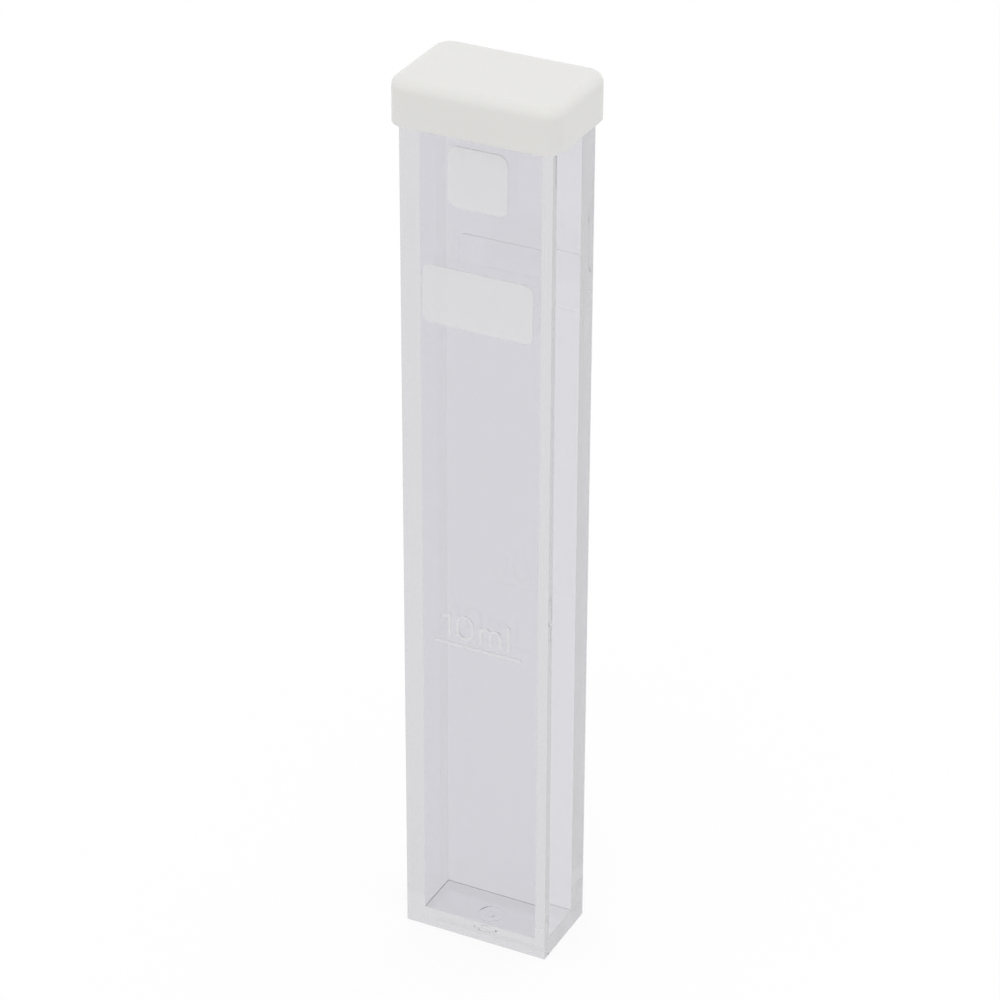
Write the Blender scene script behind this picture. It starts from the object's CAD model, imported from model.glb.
"""Looks of the sample cuvette: clear moulded cell, matt fields and white push-on cap, in metres."""
import math

import bmesh
import bpy
from mathutils import Matrix, Vector


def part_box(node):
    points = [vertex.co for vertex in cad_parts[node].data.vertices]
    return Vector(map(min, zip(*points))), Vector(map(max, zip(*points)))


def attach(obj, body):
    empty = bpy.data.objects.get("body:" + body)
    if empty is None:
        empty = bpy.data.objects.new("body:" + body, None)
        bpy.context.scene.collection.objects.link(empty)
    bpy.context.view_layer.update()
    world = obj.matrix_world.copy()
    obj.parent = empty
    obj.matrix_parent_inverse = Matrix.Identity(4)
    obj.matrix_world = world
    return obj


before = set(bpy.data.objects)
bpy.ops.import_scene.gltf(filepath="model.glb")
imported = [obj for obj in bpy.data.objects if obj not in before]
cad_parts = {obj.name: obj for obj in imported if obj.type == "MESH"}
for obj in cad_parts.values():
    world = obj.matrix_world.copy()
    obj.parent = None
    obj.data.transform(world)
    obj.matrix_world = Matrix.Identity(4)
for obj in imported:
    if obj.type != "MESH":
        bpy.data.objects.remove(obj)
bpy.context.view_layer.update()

MM = 0.001

# Camera: the photograph's viewing angle. Lens and sensor are in millimetres, as Blender takes them
VIEW_AZIMUTH = math.radians(26.41)
VIEW_ELEVATION = math.radians(29.58)
VIEW_ROLL = math.radians(0.2)
VIEW_DISTANCE = 609 * MM
VIEW_TARGET = Vector((0.67 * MM, 0, 81.95 * MM))
VIEW_NEAR = 10 * MM
VIEW_FAR = 10
LENS = 136.8
SENSOR = 36

# Studio: where the background and the floor are shown, a strength of 1 is white
WHITE = (1, 1, 1, 1)
SKY_STRENGTH = 0.85
SHOWN_STRENGTH = 1.0
FLOOR_SIZE = 4.0
FLOOR_DROP = 0.02 * MM
FLOOR_ALBEDO = 0.85
FLOOR_SHADOW_SHARE = 0.15
FLOOR_GLOW = 0.885

# Lamps: place, diameter, and power in watts. Both face the top of the cell
LAMP_TARGET = (0, 0, 0.15)
OVERHEAD_PLACE = (0.1, -0.5, 1.45)
OVERHEAD_SIZE = 0.7
OVERHEAD_POWER = 1.5
SIDE_PLACE = (1.12, -0.16, 0.88)
SIDE_SIZE = 0.1
SIDE_POWER = 0.08

# Bounces: a ray meets many clear walls on its way through the cell
CLEAR_BOUNCES = 24
GLOSSY_BOUNCES = 12

# Clear plastic, with the slow waves of a moulded wall. Noise scales are per metre
CLEAR_COLOUR = (0.836, 0.831, 0.858, 1)
CLEAR_ROUGHNESS = 0.03
CLEAR_IOR = 1.57
WAVE_SCALE = 60
WAVE_STRETCH = (1, 1, 0.12)
WAVE_DETAIL = 2.0
WAVE_STRENGTH = 0.06
WAVE_HEIGHT = 0.1 * MM
# What the depth of the plastic takes from the light
DEPTH_TINT = (0.9, 0.9, 0.9, 1)
DEPTH_DENSITY = 120

# White plastic of the cap: cloudy colour, satin grain, thin coat and light scattered inside
CAP_DARK = (0.825, 0.82, 0.80)
CAP_LIGHT = (0.86, 0.855, 0.835)
CLOUD_SCALE = 90
CLOUD_DETAIL = 3.0
CAP_GRAIN_SCALE = 2500
CAP_GRAIN_DETAIL = 5.0
CAP_GRAIN_STRENGTH = 0.12
CAP_GRAIN_HEIGHT = 0.03 * MM
CAP_ROUGHNESS_LOW = 0.42
CAP_ROUGHNESS_HIGH = 0.52
CAP_IOR = 1.5
CAP_COAT = 0.5
CAP_COAT_ROUGHNESS = 0.12
CAP_SCATTER = 0.35
CAP_SCATTER_RADIUS = (1.0, 0.95, 0.85)
CAP_SCATTER_SCALE = 1.2 * MM

# Matt plastic: one grain, on an outer face or on the back face seen through the cell
MATT_DARK = (0.945, 0.945, 0.93)
MATT_LIGHT = (0.985, 0.985, 0.97)
MATT_GRAIN_SCALE = 4000
MATT_GRAIN_DETAIL = 4.0
MATT_GRAIN_STRENGTH = 0.3
MATT_GRAIN_HEIGHT = 0.02 * MM
MATT_ROUGHNESS_LOW = 0.6
MATT_ROUGHNESS_HIGH = 0.8
GROUND_ROUGHNESS_LOW = 0.3
GROUND_ROUGHNESS_HIGH = 0.45
GROUND_IOR = 1.03

# How far each matt finish veils what is behind it, from 0 to 1
BADGE_ALPHA = 0.4
LABEL_ALPHA = 0.42
MARK_ALPHA = 0.35
RIM_ALPHA = 0.8
MARK_RIM_ALPHA = 0.6
BACK_RIM_ALPHA = 0.25
MOUTH_ALPHA = 0.7

# Matt skins: the markings' relief in the CAD, and the skins' height above the faces they cover
RELIEF = 0.1 * MM
SKIN_GAP = 0.004 * MM
MERGE_DISTANCE = 0.0005 * MM
PLANE_TOLERANCE = 0.01 * MM
# A face is flat on a wide wall when its normal lies at least this much along Y
FLAT_SHARE = 0.7
FRONT = -1
BACK = 1
# Heights that part the front markings, counted down from the foot of the cap's skirt
BADGE_TOP_DROP = 2 * MM
BADGE_FOOT_DROP = 13 * MM
LABEL_FOOT_DROP = 34 * MM


# ---------- node helpers ----------

def new_material(name):
    """A material, its node tree and its Principled shader."""
    material = bpy.data.materials.new(name)
    material.use_nodes = True
    tree = material.node_tree
    return material, tree, tree.nodes["Principled BSDF"]


def set_inputs(node, values):
    """Sets inputs of a node that nothing is linked to."""
    for name, value in values.items():
        node.inputs[name].default_value = value


def add(tree, kind, inputs=None, **settings):
    """A node of that kind, with its settings and its unlinked inputs."""
    node = tree.nodes.new(kind)
    for key, value in settings.items():
        setattr(node, key, value)
    set_inputs(node, inputs or {})
    return node


def link(tree, source, target):
    """Links an output to an input."""
    tree.links.new(source, target)


def noise(tree, scale, detail, stretch=(1, 1, 1)):
    """The factor of a noise in the object's own coordinates, stretched along its axes."""
    place = add(tree, "ShaderNodeTexCoord")
    mapping = add(tree, "ShaderNodeMapping", {"Scale": stretch})
    texture = add(tree, "ShaderNodeTexNoise", {"Scale": scale, "Detail": detail})
    link(tree, place.outputs["Object"], mapping.inputs["Vector"])
    link(tree, mapping.outputs["Vector"], texture.inputs["Vector"])
    return texture.outputs["Fac"]


def ramp(tree, factor, low, high):
    """A number that runs from low to high as the factor runs from 0 to 1."""
    node = add(tree, "ShaderNodeMapRange", {"To Min": low, "To Max": high})
    link(tree, factor, node.inputs["Value"])
    return node.outputs["Result"]


def tint(tree, factor, dark, light):
    """A colour that runs from dark to light as the factor runs from 0 to 1."""
    node = add(tree, "ShaderNodeMix", data_type="RGBA")
    set_inputs(node, {"A": (*dark, 1), "B": (*light, 1)})
    link(tree, factor, node.inputs["Factor"])
    return node.outputs["Result"]


def bump(tree, height, strength, distance):
    """The normal of a surface with that height on it."""
    node = add(tree, "ShaderNodeBump", {"Strength": strength, "Distance": distance})
    link(tree, height, node.inputs["Height"])
    return node.outputs["Normal"]


def mix_shaders(tree, factor, first, second):
    """A shader that runs from the first to the second as the factor runs from 0 to 1."""
    node = add(tree, "ShaderNodeMixShader")
    link(tree, factor, node.inputs[0])
    link(tree, first.outputs[0], node.inputs[1])
    link(tree, second.outputs[0], node.inputs[2])
    return node


# ---------- materials ----------

def clear_plastic():
    """Polished clear plastic, faintly lavender, which darkens with the depth of the wall."""
    material, tree, shader = new_material("clear_plastic")
    set_inputs(shader, {
        "Base Color": CLEAR_COLOUR,
        "Roughness": CLEAR_ROUGHNESS,
        "IOR": CLEAR_IOR,
        "Transmission Weight": 1.0,
    })
    waves = noise(tree, WAVE_SCALE, WAVE_DETAIL, WAVE_STRETCH)
    link(tree, bump(tree, waves, WAVE_STRENGTH, WAVE_HEIGHT), shader.inputs["Normal"])
    depth = add(
        tree, "ShaderNodeVolumeAbsorption", {"Color": DEPTH_TINT, "Density": DEPTH_DENSITY}
    )
    link(tree, depth.outputs["Volume"], tree.nodes["Material Output"].inputs["Volume"])
    return material


def white_plastic():
    """Soft natural polyethylene: satin, a little cloudy, with a fine skin."""
    material, tree, shader = new_material("white_plastic")
    set_inputs(shader, {
        "IOR": CAP_IOR,
        "Coat Weight": CAP_COAT,
        "Coat Roughness": CAP_COAT_ROUGHNESS,
        "Subsurface Weight": CAP_SCATTER,
        "Subsurface Radius": CAP_SCATTER_RADIUS,
        "Subsurface Scale": CAP_SCATTER_SCALE,
    })
    cloud = noise(tree, CLOUD_SCALE, CLOUD_DETAIL)
    grain = noise(tree, CAP_GRAIN_SCALE, CAP_GRAIN_DETAIL)
    colour = tint(tree, cloud, CAP_DARK, CAP_LIGHT)
    roughness = ramp(tree, grain, CAP_ROUGHNESS_LOW, CAP_ROUGHNESS_HIGH)
    link(tree, colour, shader.inputs["Base Color"])
    link(tree, roughness, shader.inputs["Roughness"])
    link(tree, bump(tree, grain, CAP_GRAIN_STRENGTH, CAP_GRAIN_HEIGHT), shader.inputs["Normal"])
    return material


def frosted_plastic(name, alpha):
    """Matt moulded texture on an outer face, which veils what is behind it as far as its alpha."""
    material, tree, shader = new_material(name)
    set_inputs(shader, {"Alpha": alpha})
    grain = noise(tree, MATT_GRAIN_SCALE, MATT_GRAIN_DETAIL)
    colour = tint(tree, grain, MATT_DARK, MATT_LIGHT)
    roughness = ramp(tree, grain, MATT_ROUGHNESS_LOW, MATT_ROUGHNESS_HIGH)
    link(tree, colour, shader.inputs["Base Color"])
    link(tree, roughness, shader.inputs["Roughness"])
    link(tree, bump(tree, grain, MATT_GRAIN_STRENGTH, MATT_GRAIN_HEIGHT), shader.inputs["Normal"])
    return material


def ground_plastic():
    """Matt texture on the back face, seen through the cell: it blurs the background."""
    material, tree, shader = new_material("ground_plastic")
    set_inputs(shader, {"Base Color": WHITE, "IOR": GROUND_IOR, "Transmission Weight": 1.0})
    grain = noise(tree, MATT_GRAIN_SCALE, MATT_GRAIN_DETAIL)
    roughness = ramp(tree, grain, GROUND_ROUGHNESS_LOW, GROUND_ROUGHNESS_HIGH)
    link(tree, roughness, shader.inputs["Roughness"])
    return material


def dress_node(node, material):
    """Gives a CAD node its finish."""
    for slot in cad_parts[node].material_slots:
        slot.material = material


# ---------- matt skins ----------

def matt_skin(name, chosen, material, rim_material):
    """A matt skin just above the chosen faces of the cell.

    Faces that aren't flat on a wide wall, such as a marking's rim, take the rim material.
    """
    mesh = bmesh.new()
    mesh.from_mesh(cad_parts["cuvette_body"].data)
    bmesh.ops.remove_doubles(mesh, verts=mesh.verts, dist=MERGE_DISTANCE)
    others = [face for face in mesh.faces if not chosen(face)]
    bmesh.ops.delete(mesh, geom=others, context="FACES")
    mesh.normal_update()
    for face in mesh.faces:
        face.material_index = 0 if abs(face.normal.y) > FLAT_SHARE else 1
    shifts = [(vert, vert.normal * SKIN_GAP) for vert in mesh.verts]
    for vert, shift in shifts:
        vert.co += shift
    data = bpy.data.meshes.new(name)
    mesh.to_mesh(data)
    mesh.free()
    skin = bpy.data.objects.new(name, data)
    bpy.context.scene.collection.objects.link(skin)
    data.materials.append(material)
    data.materials.append(rim_material)
    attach(skin, "cell")


def on_markings(side, low_z, high_z):
    """A test for the faces of one wall's raised markings between two heights."""
    low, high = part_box("cuvette_body")
    crown = side * (low.y if side == FRONT else high.y)
    foot = crown - RELIEF

    def chosen(face):
        standoffs = [side * vert.co.y + PLANE_TOLERANCE for vert in face.verts]
        raised = max(standoffs) > crown and min(standoffs) > foot
        return raised and low_z < face.calc_center_median().z < high_z

    return chosen


def on_mouth():
    """A test for the faces on the rim of the cell's mouth."""
    mouth_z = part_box("cuvette_body")[1].z

    def chosen(face):
        return min(vert.co.z for vert in face.verts) > mouth_z - PLANE_TOLERANCE

    return chosen


def build_skins():
    """Lays the matt skins on the markings and on the mouth."""
    skirt_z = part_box("cap")[0].z
    badge_top = skirt_z - BADGE_TOP_DROP
    badge_foot = skirt_z - BADGE_FOOT_DROP
    label_foot = skirt_z - LABEL_FOOT_DROP
    badge = frosted_plastic("frosted_badge", BADGE_ALPHA)
    label = frosted_plastic("frosted_label", LABEL_ALPHA)
    mark = frosted_plastic("frosted_mark", MARK_ALPHA)
    rim = frosted_plastic("frosted_rim", RIM_ALPHA)
    mark_rim = frosted_plastic("frosted_mark_rim", MARK_RIM_ALPHA)
    back_rim = frosted_plastic("frosted_back_rim", BACK_RIM_ALPHA)
    mouth = frosted_plastic("frosted_mouth", MOUTH_ALPHA)
    matt_skin("badge_field", on_markings(FRONT, badge_foot, badge_top), badge, rim)
    matt_skin("label_field", on_markings(FRONT, label_foot, badge_foot), label, rim)
    matt_skin("fill_mark", on_markings(FRONT, 0, label_foot), mark, mark_rim)
    matt_skin("label_field_back", on_markings(BACK, 0, skirt_z), ground_plastic(), back_rim)
    matt_skin("mouth_rim", on_mouth(), mouth, mouth)


# ---------- studio ----------

def shown_ray(tree):
    """1 for the rays that show the background: to the camera, mirrored or through glass."""
    path = add(tree, "ShaderNodeLightPath")
    total = path.outputs["Is Camera Ray"]
    for name in ("Is Glossy Ray", "Is Transmission Ray"):
        node = add(tree, "ShaderNodeMath", operation="MAXIMUM")
        link(tree, total, node.inputs[0])
        link(tree, path.outputs[name], node.inputs[1])
        total = node.outputs["Value"]
    return total


def build_world():
    """Even grey light from all round, shown as white."""
    world = bpy.data.worlds.new("studio")
    bpy.context.scene.world = world
    world.use_nodes = True
    tree = world.node_tree
    tree.nodes.clear()
    lit = add(tree, "ShaderNodeBackground", {"Color": WHITE, "Strength": SKY_STRENGTH})
    shown = add(tree, "ShaderNodeBackground", {"Color": WHITE, "Strength": SHOWN_STRENGTH})
    mix = mix_shaders(tree, shown_ray(tree), lit, shown)
    output = add(tree, "ShaderNodeOutputWorld")
    link(tree, mix.outputs[0], output.inputs["Surface"])


def matt_white(tree, albedo):
    """A plain diffuse grey of that albedo."""
    return add(tree, "ShaderNodeBsdfDiffuse", {"Color": (albedo, albedo, albedo, 1)})


def floor_white():
    """Plain white table: it glows white where it is shown, and keeps a share of the shadow."""
    material = bpy.data.materials.new("floor_white")
    material.use_nodes = True
    tree = material.node_tree
    tree.nodes.clear()
    table = matt_white(tree, FLOOR_ALBEDO)
    veil = matt_white(tree, FLOOR_ALBEDO * FLOOR_SHADOW_SHARE)
    glow = add(tree, "ShaderNodeEmission", {"Color": WHITE, "Strength": FLOOR_GLOW})
    shown = add(tree, "ShaderNodeAddShader")
    link(tree, veil.outputs[0], shown.inputs[0])
    link(tree, glow.outputs[0], shown.inputs[1])
    mix = mix_shaders(tree, shown_ray(tree), table, shown)
    output = add(tree, "ShaderNodeOutputMaterial")
    link(tree, mix.outputs[0], output.inputs["Surface"])
    return material


def build_floor():
    """Square floor, just below the resting face."""
    half = FLOOR_SIZE / 2
    corners = [(-half, -half, 0), (half, -half, 0), (half, half, 0), (-half, half, 0)]
    data = bpy.data.meshes.new("floor")
    data.from_pydata(corners, [], [(0, 1, 2, 3)])
    data.materials.append(floor_white())
    floor = bpy.data.objects.new("floor", data)
    floor.location.z = -FLOOR_DROP
    bpy.context.scene.collection.objects.link(floor)


def area_light(name, place, size, power):
    """A soft round lamp that faces the top of the cell."""
    data = bpy.data.lights.new(name, "AREA")
    data.shape = "DISK"
    data.size = size
    data.energy = power
    lamp = bpy.data.objects.new(name, data)
    lamp.location = place
    back = Vector(place) - Vector(LAMP_TARGET)
    lamp.rotation_euler = back.to_track_quat("Z", "Y").to_euler()
    bpy.context.scene.collection.objects.link(lamp)


def build_camera():
    """Camera at the photograph's angle, with no shift."""
    back = Vector((
        math.sin(VIEW_AZIMUTH) * math.cos(VIEW_ELEVATION),
        -math.cos(VIEW_AZIMUTH) * math.cos(VIEW_ELEVATION),
        math.sin(VIEW_ELEVATION),
    ))
    right = Vector((math.cos(VIEW_AZIMUTH), math.sin(VIEW_AZIMUTH), 0))
    up = back.cross(right)
    rolled_right = right * math.cos(VIEW_ROLL) + up * math.sin(VIEW_ROLL)
    rolled_up = up * math.cos(VIEW_ROLL) - right * math.sin(VIEW_ROLL)
    data = bpy.data.cameras.new("camera")
    data.lens = LENS
    data.sensor_width = SENSOR
    data.clip_start = VIEW_NEAR
    data.clip_end = VIEW_FAR
    camera = bpy.data.objects.new("camera", data)
    pose = Matrix((rolled_right, rolled_up, back)).transposed().to_4x4()
    pose.translation = VIEW_TARGET + back * VIEW_DISTANCE
    camera.matrix_world = pose
    bpy.context.scene.collection.objects.link(camera)
    bpy.context.scene.camera = camera


def build_studio():
    """World, floor, lamps and camera, and how far a ray is followed."""
    build_world()
    build_floor()
    area_light("overhead", OVERHEAD_PLACE, OVERHEAD_SIZE, OVERHEAD_POWER)
    area_light("side", SIDE_PLACE, SIDE_SIZE, SIDE_POWER)
    build_camera()
    scene = bpy.context.scene
    scene.view_settings.view_transform = "Standard"
    scene.cycles.max_bounces = CLEAR_BOUNCES
    scene.cycles.transmission_bounces = CLEAR_BOUNCES
    scene.cycles.transparent_max_bounces = CLEAR_BOUNCES
    scene.cycles.glossy_bounces = GLOSSY_BOUNCES


dress_node("cuvette_body", clear_plastic())
dress_node("cap", white_plastic())
build_skins()
build_studio()
